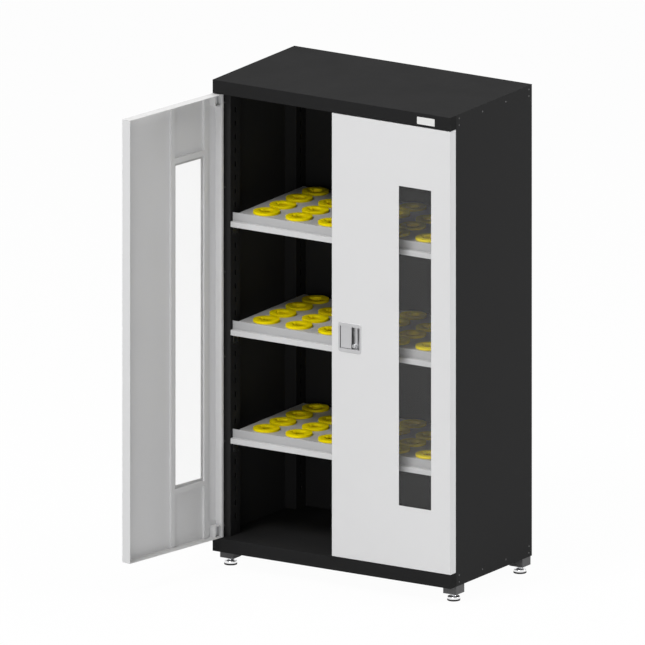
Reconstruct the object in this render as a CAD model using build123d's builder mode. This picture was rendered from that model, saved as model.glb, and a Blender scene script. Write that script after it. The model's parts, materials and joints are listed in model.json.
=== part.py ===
"""Two-door storage cabinet for taper-shank tools.

A folded steel carcass on four levelling feet carries three hung frames. A socket tray lies on each
frame. Two windowed doors turn on pivot pins, and the right one holds a paddle latch with lock rods.

Millimetres. X runs to the right, Y to the back and Z up. The origin is on the floor, midway between
the four feet.
"""

import os
from math import cos, pi, radians, sin

from build123d import *

# ------------------------------------------------------------------ driving dimensions
width = 1000.0              # outside of the side panels
body_depth = 510.0          # side panels, front to back
height = 1800.0             # floor to top sheet
fascia_projection = 40.0    # header and plinth stand this far in front of the side panels
fascia_height = 50.0        # header and plinth, top to bottom
ground_clearance = 60.0     # floor to underside of plinth
sheet = 1.2                 # carcass and door steel
fit_gap = 0.2               # between folded sheets that lie together
weld_gap = 0.3              # round a bracket or stiffener fitted inside a folded corner
bend = 2.0                  # outside radius of a visible fold

stile_width = 50.0          # front stile of a side panel
rear_flange = 25.0          # rear stile of a side panel
rim_inset = 4.0             # stiffening rims stop this far short of the fascias' height

upright_depth = 65.0        # slotted upright, front to back
slot_width = 9.0
slot_height = 20.0
slot_pitch = 50.0
slot_end = 50.0             # slot row stays at least this far below the upright's top
slot_setback = 32.0         # slot row behind the front of its upright
first_slot = 178.6          # height of the lowest slot's centre

door_gap = 2.0              # leaf to header, plinth, stile and other leaf
door_reveal = 1.0           # leaf edge inside the carcass edge
door_lip = 10.0             # turned-in lip along the hinge edge
open_angle = 100.0          # the left leaf stands open by this much

hinge_inset = 8.0           # pivot axis from the leaf's hinge edge
hinge_setback = 12.0        # pivot axis behind the leaf's face
pivot_radius = 3.0
pivot_head_radius = 6.0
pivot_head_thickness = 4.0
running_gap = 0.05          # radial play of a turning or sliding shaft
pivot_reach = 46.0          # pivot pin inside the leaf
bracket_plate = 3.0
bracket_width = 30.0
bracket_depth = 26.0
bracket_height = 42.0
bush_wall = 1.5
bush_collar = 1.0

window_width = 136.0
window_edge_margin = 80.0   # window to hinge edge of leaf
window_top_margin = 229.0
window_bottom_margin = 227.0
glass_thickness = 4.0
glass_overlap = 7.0         # glass behind the skin, all round
tape_thickness = 1.5        # foam tape between glass and skin
stiffener_gap = 10.0        # window edge to stiffener foot
stiffener_width = 20.0
stiffener_height = 8.0

frame_levels = (5, 13, 21)  # slot numbers that carry the three frames
level_names = ("bottom", "middle", "top")
clip_rise = 25.4            # frame underside above the centre of its slot
clip_plate = 1.6
clip_length = 30.0
clip_ledge = 24.0
frame_height = 19.5
frame_side_gap = 0.5
frame_sheet = 1.5
frame_back_gap = 12.2       # frame to back panel
frame_front_rail = 26.0
frame_side_rail = 26.0
frame_rear_rail = 56.0

tray_side_gap = 22.0        # tray inside its frame, on each side
tray_height = 31.5
tray_setback = 14.5         # tray front behind frame front
tray_back_gap = 40.6        # tray back in front of frame back
tray_sheet = 1.5

socket_edge = 5.0           # least distance from a flange to the tray's edge
socket_pitch_x = 136.6
socket_pitch_y = 110.0
socket_flange_radius = 48.5
socket_flange_height = 9.0
socket_bore_radius = 22.5
socket_neck = 66.0          # square neck that drops through the tray
socket_neck_wall = 4.0
socket_neck_depth = 20.0
socket_land = 1.0           # the neck's hollow reaches this far up into the flange
socket_fit = 0.3

leg_side = 56.0
leg_wall = 3.0
leg_floor = 5.0
leg_bottom = 27.5           # above the floor
sole_radius = 23.25
sole_thickness = 5.0
pad_radius = 22.75
pad_thickness = 10.0
neck_radius = 9.0
neck_height = 3.5
stem_radius = 6.0
stem_top = 76.0
locknut_flats = 19.0
locknut_thickness = 8.0

latch_x = 76.8              # centre of the latch on the right leaf
latch_z = 927.7
latch_width = 96.4
latch_height = 109.0
latch_corner = 9.0
latch_proud = 2.0           # latch rim in front of the skin
latch_wall = 1.5
well_left = 36.0
well_right = 119.0
well_floor_right = 99.0
well_bottom = 887.0
well_top = 968.6
well_depth = 16.0
paddle_axis_x = 39.2
paddle_radius = 2.6
paddle_pin_radius = 1.5
paddle_edge = 82.0
paddle_thickness = 3.0
paddle_end_gap = 1.2
barrel_x = 89.6             # key barrel and pinion
barrel_z = 897.0
barrel_radius = 7.0
barrel_proud = 10.0         # barrel in front of the well's floor
spindle_radius = 3.0
keyway_width = 2.0
keyway_height = 8.0
keyway_depth = 3.0

rack_module = 1.5
pinion_teeth = 12
rack_teeth = 7
tooth_play = 0.45           # taken off each tooth's thickness at the pitch line
rod_width = 10.0
rod_thickness = 4.0
keeper_play = 6.0           # keeper slot wider and deeper than the rod that enters it
rod_travel = pi / 2 * rack_module * pinion_teeth / 2
rod_retract = 4.0           # rod end behind the leaf's edge at rest
guide_width = 20.0
guide_height = 8.0
guide_play = 0.15
guide_inset = 60.0          # guide from the leaf's end
case_wall = 2.0
case_side_gap = 1.5
case_height = 60.0

# ------------------------------------------------------------------ places worked out from them
half_width = width / 2
body_front = -body_depth / 2
body_back = body_depth / 2
face_front = body_front - fascia_projection
header_bottom = height - fascia_height
floor_top = ground_clearance + fascia_height
panel_top = height - sheet
inner_side = half_width - sheet - fit_gap          # space left between the side panels
rim_back = body_back - 2 * (sheet + fit_gap)       # in front of the back panel
rim_front = body_front + sheet + fit_gap + fit_gap

upright_x = half_width - stile_width
upright_front = body_front + sheet + fit_gap
upright_bottom = floor_top + fit_gap
rim_drop = fascia_height - rim_inset
upright_top = panel_top - rim_drop - fit_gap
slot_count = int((upright_top - slot_end - first_slot) / slot_pitch) + 1
slots_middle = first_slot + slot_pitch * (slot_count - 1) / 2
front_slot_y = upright_front + slot_setback
rear_slot_y = rim_back - slot_setback

leaf_outer = half_width - door_reveal
leaf_inner = door_gap / 2
leaf_width = leaf_outer - leaf_inner
leaf_bottom = floor_top + door_gap
leaf_top = header_bottom - door_gap
leaf_height = leaf_top - leaf_bottom
leaf_depth = fascia_projection - door_gap
leaf_back = face_front + leaf_depth
skin_back = face_front + sheet
leaf_x = (leaf_outer + leaf_inner) / 2
leaf_z = (leaf_top + leaf_bottom) / 2
pivot_x = leaf_outer - hinge_inset
pivot_y = face_front + hinge_setback
left_pivot = Axis((-pivot_x, pivot_y, 0), (0, 0, 1))
bush_radius = pivot_radius + running_gap + bush_wall

window_x = leaf_outer - window_edge_margin - window_width / 2
window_height = leaf_height - window_top_margin - window_bottom_margin
window_z = leaf_bottom + window_bottom_margin + window_height / 2

frame_width = 2 * (upright_x - frame_side_gap)
frame_front = body_front + frame_side_gap
frame_back = rim_back - frame_back_gap
frame_depth = frame_back - frame_front
frame_bottoms = [first_slot + slot_pitch * n + clip_rise for n in frame_levels]
tray_front = frame_front + tray_setback
tray_back = frame_back - tray_back_gap
tray_width = frame_width - 2 * tray_side_gap
tray_depth = tray_back - tray_front
tray_y = (tray_front + tray_back) / 2
socket_margin = socket_flange_radius + socket_edge
socket_columns = int((tray_width - 2 * socket_margin) / socket_pitch_x) + 1
socket_rows = int((tray_depth - 2 * socket_margin) / socket_pitch_y) + 1
well_floor = face_front + well_depth
latch_back = well_floor + latch_wall
paddle_axis_y = face_front + paddle_radius + 1.2
pitch_radius = rack_module * pinion_teeth / 2
rod_front = latch_back + case_wall + 1.0
rod_back = rod_front + rod_thickness
rod_offset = pitch_radius + rack_module * 1.25 + rod_width / 2
leg_x = inner_side - fit_gap - sheet - fit_gap - leg_side / 2
leg_y = rim_back - sheet - fit_gap - leg_side / 2

os.makedirs("parts", exist_ok=True)


def save(piece, name):
    """Label a finished piece and write it to parts/."""
    piece.label = name
    export_step(piece, f"parts/{name}.step")


def folded(points, side=Side.LEFT):
    """Outline of a strip of sheet folded along the points. The points are its outer surface."""
    with BuildLine() as strip:
        FilletPolyline(*points, radius=bend)
        offset(amount=sheet, side=side)
    return strip.edges()


def mirrored(piece):
    """The same piece for the other side of the cabinet."""
    return mirror(piece, about=Plane.YZ)


def opened(piece):
    """A right-leaf piece as the left leaf's, turned open about the left pivot."""
    return mirrored(piece).rotate(left_pivot, -open_angle)


# ------------------------------------------------------------------ carcass
with BuildPart() as side_panel:
    with BuildSketch(Plane.XY.offset(ground_clearance)):
        make_face(folded([
            (upright_x, body_front),
            (half_width, body_front),
            (half_width, body_back),
            (half_width - rear_flange, body_back),
        ]))
    extrude(amount=panel_top - ground_clearance)
save(side_panel.part, "side_panel_right")
save(mirrored(side_panel.part), "side_panel_left")

with BuildPart() as upright:
    with BuildSketch(Plane.XY.offset(upright_bottom)):
        make_face(folded([
            (inner_side - sheet - fit_gap, upright_front),
            (upright_x, upright_front),
            (upright_x, upright_front + upright_depth),
            (inner_side - sheet - fit_gap, upright_front + upright_depth),
        ], side=Side.RIGHT))
    extrude(amount=upright_top - upright_bottom)
    with BuildSketch(Plane.YZ.offset(upright_x - sheet)):
        with Locations((front_slot_y, slots_middle)):
            with GridLocations(slot_pitch, slot_pitch, 1, slot_count):
                Rectangle(slot_width, slot_height)
    extrude(amount=3 * sheet, mode=Mode.SUBTRACT)
rear_upright = mirror(upright.part, about=Plane.XZ).translate((0, rim_back + upright_front, 0))
save(upright.part, "upright_front_right")
save(mirrored(upright.part), "upright_front_left")
save(rear_upright, "upright_rear_right")
save(mirrored(rear_upright), "upright_rear_left")

with BuildPart() as back_panel:
    with BuildSketch(Plane.XZ.offset(-rim_back - fit_gap - sheet)):
        with Locations((0, (panel_top + ground_clearance) / 2)):
            Rectangle(2 * (inner_side - weld_gap), panel_top - ground_clearance - 2 * weld_gap)
    extrude(amount=sheet)
save(back_panel.part, "back_panel")


def rim_ring(top):
    """Outline of the stiffening rim that hangs under a sheet whose underside is at this height."""
    with BuildSketch(Plane.XY.offset(top)) as ring:
        with Locations((0, (rim_front + rim_back) / 2)):
            Rectangle(2 * (inner_side - fit_gap), rim_back - rim_front)
            Rectangle(2 * (inner_side - fit_gap - sheet), rim_back - rim_front - 2 * sheet,
                      mode=Mode.SUBTRACT)
    return ring.sketch


def fascia_ends(bottom):
    """Outlines of both end plates of a header or plinth channel."""
    with BuildSketch(Plane.XY.offset(bottom)) as ends:
        with Locations((0, (face_front + body_front - fit_gap) / 2)):
            with GridLocations(width - sheet, 1, 2, 1):
                Rectangle(sheet, fascia_projection - fit_gap)
    return ends.sketch


hem = 15.0                  # return on the back edge of the header and plinth channels

with BuildPart() as top_cover:
    with BuildSketch(Plane.YZ.offset(-half_width)):
        make_face(folded([
            (body_front - fit_gap, header_bottom + hem),
            (body_front - fit_gap, header_bottom),
            (face_front, header_bottom),
            (face_front, height),
            (body_back, height),
        ], side=Side.RIGHT))
    extrude(amount=width)
    extrude(fascia_ends(header_bottom), amount=fascia_height)
    extrude(rim_ring(panel_top), amount=-rim_drop)
    # holes for the pivot pins, and the top lock rod's keeper slot
    with BuildSketch(Plane.XY.offset(header_bottom)):
        with Locations((-pivot_x, pivot_y), (pivot_x, pivot_y)):
            Circle(pivot_radius + running_gap)
        with Locations((barrel_x - rod_offset, (rod_front + rod_back) / 2)):
            Rectangle(rod_width + keeper_play, rod_thickness + keeper_play)
    extrude(amount=sheet, mode=Mode.SUBTRACT)
save(top_cover.part, "top_cover")

with BuildPart() as base_pan:
    with BuildSketch(Plane.YZ.offset(-half_width)):
        make_face(folded([
            (body_front - fit_gap, ground_clearance + hem),
            (body_front - fit_gap, ground_clearance),
            (face_front, ground_clearance),
            (face_front, floor_top),
            (body_front - fit_gap, floor_top),
        ], side=Side.RIGHT))
    extrude(amount=width)
    extrude(fascia_ends(ground_clearance), amount=fascia_height)
    # the floor is notched round the stiles
    with BuildSketch(Plane.XY.offset(floor_top)):
        with Locations((0, (body_front + rim_back) / 2 - fit_gap)):
            Rectangle(2 * upright_x - 2 * fit_gap, rim_back - body_front)
        with Locations((0, (upright_front + rim_back) / 2)):
            Rectangle(2 * inner_side, rim_back - upright_front)
    extrude(amount=-sheet)
    extrude(rim_ring(floor_top - sheet), amount=-rim_drop)
    with BuildSketch(Plane.XY.offset(floor_top)):
        with Locations((-pivot_x, pivot_y), (pivot_x, pivot_y)):
            Circle(pivot_radius + running_gap)
        with Locations((barrel_x + rod_offset, (rod_front + rod_back) / 2)):
            Rectangle(rod_width + keeper_play, rod_thickness + keeper_play)
    extrude(amount=-sheet, mode=Mode.SUBTRACT)
save(base_pan.part, "base_pan")

# ------------------------------------------------------------------ pivot pins
pivot_reach_from_sheet = pivot_reach + door_gap + sheet

with BuildPart() as pivot_pins:
    for seat, inward in ((header_bottom + sheet, -1), (floor_top - sheet, 1)):
        with BuildSketch(Plane.XY.offset(seat)):
            with Locations((pivot_x, pivot_y)):
                Circle(pivot_radius)
        extrude(amount=inward * pivot_reach_from_sheet)
        with BuildSketch(Plane.XY.offset(seat)):
            with Locations((pivot_x, pivot_y)):
                Circle(pivot_head_radius)
        extrude(amount=-inward * pivot_head_thickness)
save(pivot_pins.part, "pivot_pins_right")
save(mirrored(pivot_pins.part), "pivot_pins_left")


# ------------------------------------------------------------------ doors
def leaf_pan():
    """The right leaf's skin with its four returns, hinge lip, window and pivot holes."""
    with BuildPart() as pan:
        with BuildSketch(Plane.XZ.offset(-leaf_back)):
            with Locations((leaf_x, leaf_z)):
                Rectangle(leaf_width, leaf_height)
        extrude(amount=leaf_depth)
        fillet(pan.faces().sort_by(Axis.Y)[0].edges(), bend)
        offset(amount=-sheet, openings=pan.faces().sort_by(Axis.Y)[-1])
        with BuildSketch(Plane.XZ.offset(-leaf_back)):
            with Locations((leaf_outer - door_lip / 2, leaf_z)):
                Rectangle(door_lip, leaf_height)
        extrude(amount=sheet)
        with BuildSketch(Plane.XZ.offset(-skin_back)):
            with Locations((window_x, window_z)):
                Rectangle(window_width, window_height)
        extrude(amount=sheet, mode=Mode.SUBTRACT)
        with BuildSketch(Plane.XY.offset(leaf_bottom)):
            with Locations((pivot_x, pivot_y)):
                Circle(pivot_radius + 1)
        extrude(amount=leaf_height, mode=Mode.SUBTRACT)
    return pan


def leaf_stiffeners():
    """Hat channels round the window: two run the leaf's height, two cross between them."""
    reach_x = window_width / 2 + stiffener_gap + stiffener_width / 2
    reach_z = window_height / 2 + stiffener_gap + stiffener_width / 2
    with BuildPart() as stiffeners:
        with BuildSketch(Plane.XZ.offset(-skin_back)):
            with Locations((window_x, leaf_z)):
                with GridLocations(2 * reach_x, 1, 2, 1):
                    Rectangle(stiffener_width, leaf_height - 2 * sheet - 2 * (bend - sheet))
            with Locations((window_x, window_z)):
                with GridLocations(1, 2 * reach_z, 1, 2):
                    Rectangle(2 * reach_x, stiffener_width)
        extrude(amount=-stiffener_height)
        offset(amount=-sheet, openings=stiffeners.faces().sort_by(Axis.Y)[0])
    return stiffeners


def leaf_glass():
    """The window's pane, taped behind the skin."""
    with BuildPart() as glass:
        with BuildSketch(Plane.XZ.offset(-skin_back - tape_thickness)):
            with Locations((window_x, window_z)):
                Rectangle(window_width + 2 * glass_overlap, window_height + 2 * glass_overlap)
        extrude(amount=-glass_thickness)
    return glass


def leaf_tape():
    """Foam tape between the pane and the skin."""
    with BuildPart() as tape:
        with BuildSketch(Plane.XZ.offset(-skin_back)):
            with Locations((window_x, window_z)):
                Rectangle(window_width + 2 * glass_overlap, window_height + 2 * glass_overlap)
                Rectangle(window_width + 1, window_height + 1, mode=Mode.SUBTRACT)
        extrude(amount=-tape_thickness)
    return tape


def hinge_brackets():
    """A folded bracket in each hinge corner of the leaf. Its inner plate holds the pivot bush."""
    bracket_x = leaf_outer - sheet - weld_gap - bracket_width / 2
    centre_z = leaf_height / 2 - sheet - weld_gap - bracket_height / 2
    with BuildPart() as brackets:
        with BuildSketch(Plane.XZ.offset(-skin_back - weld_gap)):
            with Locations((bracket_x, leaf_z)):
                with GridLocations(1, 2 * centre_z, 1, 2):
                    Rectangle(bracket_width, bracket_height)
            with Locations((bracket_x + bracket_plate, leaf_z)):
                with GridLocations(1, 2 * centre_z, 1, 2):
                    Rectangle(bracket_width, bracket_height - 2 * bracket_plate, mode=Mode.SUBTRACT)
        extrude(amount=-bracket_depth)
        with BuildSketch(Plane.XY.offset(leaf_bottom)):
            with Locations((pivot_x, pivot_y)):
                Circle(bush_radius + running_gap)
        extrude(amount=leaf_height, mode=Mode.SUBTRACT)
    return brackets


def pivot_bushes():
    """Collared nylon bushes that the pivot pins turn in, one in each bracket's inner plate."""
    plate_z = leaf_height / 2 - sheet - weld_gap - bracket_height
    with BuildPart() as bushes:
        with BuildSketch(Plane.XY.offset(leaf_z + plate_z)):
            with Locations((pivot_x, pivot_y)):
                Circle(bush_radius)
        extrude(amount=bracket_plate)
        with BuildSketch(Plane.XY.offset(leaf_z + plate_z + bracket_plate)):
            with Locations((pivot_x, pivot_y)):
                Circle(bush_radius + bush_collar)
        extrude(amount=bush_collar)
        mirror(about=Plane.XY.offset(leaf_z))
        with BuildSketch(Plane.XY.offset(leaf_bottom)):
            with Locations((pivot_x, pivot_y)):
                Circle(pivot_radius + running_gap)
        extrude(amount=leaf_height, mode=Mode.SUBTRACT)
    return bushes


leaf_pieces = {
    "stiffeners": leaf_stiffeners(),
    "glass": leaf_glass(),
    "glass_tape": leaf_tape(),
    "hinge_brackets": hinge_brackets(),
    "pivot_bushes": pivot_bushes(),
}
for name, piece in leaf_pieces.items():
    save(piece.part, f"right_door_{name}")
    save(opened(piece.part), f"left_door_{name}")

left_skin = leaf_pan()
save(opened(left_skin.part), "left_door_pan")

rod_y = (rod_front + rod_back) / 2
with BuildPart() as right_skin:
    add(left_skin.part)
    # opening behind the latch
    with BuildSketch(Plane.XZ.offset(-skin_back)):
        with Locations(((well_left + well_right) / 2, (well_top + well_bottom) / 2)):
            Rectangle(well_right - well_left + 4, well_top - well_bottom + 4)
    extrude(amount=sheet, mode=Mode.SUBTRACT)
    # slots that the lock rods pass through
    with BuildSketch(Plane.XY.offset(leaf_top)):
        with Locations((barrel_x - rod_offset, rod_y)):
            Rectangle(rod_width + 1, rod_thickness + 1)
    extrude(amount=-sheet, mode=Mode.SUBTRACT)
    with BuildSketch(Plane.XY.offset(leaf_bottom)):
        with Locations((barrel_x + rod_offset, rod_y)):
            Rectangle(rod_width + 1, rod_thickness + 1)
    extrude(amount=sheet, mode=Mode.SUBTRACT)
save(right_skin.part, "right_door_pan")

# ------------------------------------------------------------------ latch
well_z = (well_top + well_bottom) / 2
well_height = well_top - well_bottom

with BuildPart() as latch_dish:
    with BuildSketch(Plane.XZ.offset(-face_front)):
        with Locations((latch_x, latch_z)):
            RectangleRounded(latch_width, latch_height, latch_corner)
    extrude(amount=latch_proud)
    chamfer(latch_dish.faces().sort_by(Axis.Y)[0].edges(), 1.0)
    # outside of the well, then its hollow with the finger slope on the right
    with BuildSketch(Plane.XY.offset(well_bottom - latch_wall)):
        with BuildLine():
            Polyline((well_left - latch_wall, face_front), (well_left - latch_wall, latch_back),
                     (well_floor_right + latch_wall / 2, latch_back),
                     (well_right + latch_wall, face_front), close=True)
        make_face()
    extrude(amount=well_height + 2 * latch_wall)
    with BuildSketch(Plane.XY.offset(well_bottom)):
        with BuildLine():
            Polyline((well_left, face_front - latch_proud), (well_left, well_floor),
                     (well_floor_right, well_floor),
                     (well_right, face_front), (well_right, face_front - latch_proud), close=True)
        make_face()
    extrude(amount=well_height, mode=Mode.SUBTRACT)
    # the key barrel passes through the floor of the well
    with BuildSketch(Plane.XZ.offset(-latch_back)):
        with Locations((barrel_x, barrel_z)):
            Circle(barrel_radius + running_gap)
    extrude(amount=2 * latch_wall, mode=Mode.SUBTRACT)
save(latch_dish.part, "latch_dish")

with BuildPart() as paddle_pin:
    with BuildSketch(Plane.XY.offset(well_bottom)):
        with Locations((paddle_axis_x, paddle_axis_y)):
            Circle(paddle_pin_radius)
    extrude(amount=well_height)
save(paddle_pin.part, "paddle_pin")

paddle_z = well_bottom + paddle_end_gap
with BuildPart() as paddle:
    with BuildSketch(Plane.XY.offset(paddle_z)):
        with Locations((paddle_axis_x, paddle_axis_y)):
            Circle(paddle_radius)
        with BuildLine():
            Polyline((paddle_axis_x, paddle_axis_y - paddle_radius),
                     (paddle_edge, paddle_axis_y - paddle_radius),
                     (paddle_edge, paddle_axis_y - paddle_radius + paddle_thickness + 2),
                     (paddle_edge - 2, paddle_axis_y - paddle_radius + paddle_thickness + 2),
                     (paddle_edge - 2, paddle_axis_y - paddle_radius + paddle_thickness),
                     (paddle_axis_x, paddle_axis_y - paddle_radius + paddle_thickness), close=True)
        make_face()
        with Locations((paddle_axis_x, paddle_axis_y)):
            Circle(paddle_pin_radius + running_gap, mode=Mode.SUBTRACT)
    extrude(amount=well_height - 2 * paddle_end_gap)
save(paddle.part, "latch_paddle")

with BuildPart() as key_barrel:
    with BuildSketch(Plane.XZ.offset(-latch_back)):
        with Locations((barrel_x, barrel_z)):
            Circle(barrel_radius)
    extrude(amount=latch_wall + barrel_proud)
    chamfer(key_barrel.faces().sort_by(Axis.Y)[0].edges(), 0.6)
    with BuildSketch(Plane.XZ.offset(-latch_back)):
        with Locations((barrel_x, barrel_z)):
            Circle(spindle_radius)
    extrude(amount=-(rod_back - latch_back + case_wall + 1))
    with BuildSketch(Plane.XZ.offset(-(well_floor - barrel_proud))):
        with Locations((barrel_x, barrel_z)):
            Rectangle(keyway_width, keyway_height)
    extrude(amount=-keyway_depth, mode=Mode.SUBTRACT)
save(key_barrel.part, "key_barrel")


def pinion_tooth(root, tip, root_half, tip_half):
    """One straight-flanked tooth that points along +X from its root to its tip."""
    with BuildSketch() as tooth:
        with BuildLine():
            Polyline((root - rack_module, -root_half), (root, -root_half), (tip, -tip_half),
                     (tip, tip_half), (root, root_half), (root - rack_module, root_half), close=True)
        make_face()
    return tooth.sketch


pressure_angle = radians(20)
addendum = rack_module * 0.9
dedendum = rack_module * 1.25
pitch_half = pi * rack_module / 4 - tooth_play / 2
flank_run = sin(pressure_angle) / cos(pressure_angle)

with BuildPart() as pinion:
    with BuildSketch(Plane.XZ.offset(-rod_back)):
        with Locations((barrel_x, barrel_z)):
            Circle(pitch_radius - dedendum)
            with PolarLocations(0, pinion_teeth):
                add(pinion_tooth(pitch_radius - dedendum, pitch_radius + addendum,
                                 pitch_half + dedendum * flank_run * 0.6,
                                 pitch_half - addendum * flank_run * 1.6))
            Circle(spindle_radius, mode=Mode.SUBTRACT)
    extrude(amount=rod_thickness)
save(pinion.part, "lock_pinion")


def lock_rod(side, end_z):
    """A flat rod with a rack at the pinion. side is -1 for the rod left of it, 1 for the right one.

    A pinion tooth points straight at each rack at rest, so the rack has a space there. It runs on
    past the pinion by the rod's travel, down from it on the left rod and up on the right one.
    """
    tip_x = barrel_x + side * (pitch_radius - addendum)
    root_x = barrel_x + side * (pitch_radius + dedendum)
    rack_end = barrel_z + side * (rack_teeth - 1) * pi * rack_module
    low, high = sorted((rack_end, end_z))
    with BuildPart() as rod:
        with BuildSketch(Plane.XZ.offset(-rod_back)):
            with Locations((barrel_x + side * rod_offset, (low + high) / 2)):
                Rectangle(rod_width, high - low)
            for tooth in range(rack_teeth):
                z = barrel_z + side * (tooth - 1.5) * pi * rack_module
                with BuildLine():
                    Polyline((root_x, z - pitch_half - dedendum * flank_run),
                             (tip_x, z - pitch_half + addendum * flank_run),
                             (tip_x, z + pitch_half - addendum * flank_run),
                             (root_x, z + pitch_half + dedendum * flank_run), close=True)
                make_face()
        extrude(amount=rod_thickness)
    return rod


rod_top = lock_rod(-1, leaf_top - sheet - rod_retract)
save(rod_top.part, "lock_rod_top")
rod_bottom = lock_rod(1, leaf_bottom + sheet + rod_retract)
save(rod_bottom.part, "lock_rod_bottom")

guide_places = [
    (barrel_x - rod_offset, leaf_top - guide_inset),
    (barrel_x - rod_offset, (leaf_top + latch_z) / 2),
    (barrel_x + rod_offset, (leaf_bottom + latch_z) / 2),
    (barrel_x + rod_offset, leaf_bottom + guide_inset),
]
with BuildPart() as rod_guides:
    for guide_x, guide_z in guide_places:
        guide_back = rod_back + 3
        with BuildSketch(Plane.XY.offset(guide_z)):
            with Locations((guide_x, (skin_back + fit_gap + guide_back) / 2)):
                Rectangle(guide_width, guide_back - skin_back - fit_gap)
            with Locations((guide_x, rod_y)):
                Rectangle(rod_width + 2 * guide_play, rod_thickness + 2 * guide_play,
                          mode=Mode.SUBTRACT)
        extrude(amount=guide_height)
save(rod_guides.part, "lock_rod_guides")

case_half = rod_offset + rod_width / 2 + case_side_gap + case_wall
with BuildPart() as lock_case:
    with BuildSketch(Plane.XY.offset(barrel_z - case_height / 2)):
        with Locations((barrel_x, (latch_back + rod_back + case_wall + 1) / 2)):
            Rectangle(2 * case_half, rod_back + case_wall + 1 - latch_back)
            Rectangle(2 * (case_half - case_wall), rod_back + 1 - latch_back - case_wall,
                      mode=Mode.SUBTRACT)
    extrude(amount=case_height)
    with BuildSketch(Plane.XZ.offset(-latch_back)):
        with Locations((barrel_x, barrel_z)):
            Circle(spindle_radius + running_gap)
    extrude(amount=-3 * well_depth, mode=Mode.SUBTRACT)
save(lock_case.part, "lock_case")

# ------------------------------------------------------------------ frames, trays and sockets
socket_places = [
    ((column - (socket_columns - 1) / 2) * socket_pitch_x,
     (row - (socket_rows - 1) / 2) * socket_pitch_y + tray_y)
    for row in range(socket_rows)
    for column in range(socket_columns)
]


def hung_frame(bottom):
    """An open frame of inverted-channel rails, so that tools can hang down through it."""
    inner_front = frame_front + frame_front_rail
    inner_back = frame_back - frame_rear_rail
    with BuildPart() as frame:
        with BuildSketch(Plane.XY.offset(bottom)):
            with Locations((0, (frame_front + frame_back) / 2)):
                Rectangle(frame_width, frame_depth)
            with Locations((0, (inner_front + inner_back) / 2)):
                Rectangle(frame_width - 2 * frame_side_rail, inner_back - inner_front,
                          mode=Mode.SUBTRACT)
        extrude(amount=frame_height)
        fillet(frame.faces().sort_by(Axis.Y)[0].edges().sort_by(Axis.Z)[-1], bend)
        offset(amount=-frame_sheet, openings=frame.faces().sort_by(Axis.Z)[0])
    return frame


def frame_clips(bottom):
    """Four clips: a ledge under the frame, and a hook through an upright's slot."""
    slot_z = bottom - clip_rise
    face_x = upright_x - fit_gap
    with BuildPart() as clips:
        for slot_y in (front_slot_y, rear_slot_y):
            with BuildSketch(Plane.XZ.offset(-slot_y)):
                with BuildLine():
                    Polyline((face_x - clip_ledge, bottom - clip_plate), (face_x - clip_ledge, bottom),
                             (face_x, bottom), (face_x, slot_z - slot_height / 2 + clip_plate),
                             (face_x - clip_plate, slot_z - slot_height / 2 + clip_plate),
                             (face_x - clip_plate, bottom - clip_plate), close=True)
                make_face()
            extrude(amount=clip_length / 2, both=True)
            with BuildSketch(Plane.XZ.offset(-slot_y)):
                hook_x = upright_x + sheet + fit_gap
                hook_z = slot_z - slot_height / 2
                with BuildLine():
                    Polyline((face_x - clip_plate, hook_z), (face_x - clip_plate, hook_z + slot_height / 2),
                             (hook_x + clip_plate, hook_z + slot_height / 2),
                             (hook_x + clip_plate, hook_z - slot_height / 2),
                             (hook_x, hook_z - slot_height / 2), (hook_x, hook_z), close=True)
                make_face()
            extrude(amount=slot_width / 2 - 1, both=True)
        mirror(about=Plane.YZ)
    return clips


def socket_tray(bottom):
    """Folded tray with a square hole for each socket. Its front reaches past it on both sides.

    The flat plate and the four folded edges are kept as bodies that meet face to face.
    """
    top = bottom + tray_height
    with BuildPart() as sheet_body:
        with BuildSketch(Plane.XY.offset(bottom)):
            with Locations((0, tray_y)):
                Rectangle(tray_width, tray_depth)
        extrude(amount=tray_height)
        fillet(sheet_body.faces().sort_by(Axis.Z)[-1].edges(), bend)
        offset(amount=-tray_sheet, openings=sheet_body.faces().sort_by(Axis.Z)[0])
        with BuildSketch(Plane.XY.offset(top)):
            with Locations(*socket_places):
                Rectangle(socket_neck + 2 * socket_fit, socket_neck + 2 * socket_fit)
        extrude(amount=-tray_sheet, mode=Mode.SUBTRACT)
    flat_width = tray_width - 2 * bend
    flat_depth = tray_depth - 2 * bend
    with BuildPart() as plate:
        add(sheet_body.part)
        with BuildSketch(Plane.XY.offset(bottom)):
            with Locations((0, tray_y)):
                Rectangle(flat_width, flat_depth)
        extrude(amount=tray_height, mode=Mode.INTERSECT)
    with BuildPart() as side_edges:
        add(sheet_body.part)
        with BuildSketch(Plane.XY.offset(bottom)):
            with Locations((-(tray_width - bend) / 2, tray_y), ((tray_width - bend) / 2, tray_y)):
                Rectangle(bend, flat_depth)
        extrude(amount=tray_height, mode=Mode.INTERSECT)
    with BuildPart() as rear_edge:
        add(sheet_body.part)
        with BuildSketch(Plane.XY.offset(bottom)):
            with Locations((0, tray_y + (tray_depth - bend) / 2)):
                Rectangle(tray_width, bend)
        extrude(amount=tray_height, mode=Mode.INTERSECT)
    with BuildPart() as front_edge:
        add(sheet_body.part)
        with BuildSketch(Plane.XY.offset(bottom)):
            with Locations((0, tray_y - (tray_depth - bend) / 2)):
                Rectangle(tray_width, bend)
        extrude(amount=tray_height, mode=Mode.INTERSECT)
        with BuildSketch(Plane.XZ.offset(-tray_front)):
            with Locations((0, bottom + tray_height / 2)):
                with GridLocations(tray_width + (frame_width - tray_width) / 2 - tray_sheet, 1, 2, 1):
                    Rectangle((frame_width - tray_width) / 2 + tray_sheet, tray_height)
        extrude(amount=-tray_sheet)
    return [plate.solid(), *side_edges.solids(), rear_edge.solid(), front_edge.solid()]


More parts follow.
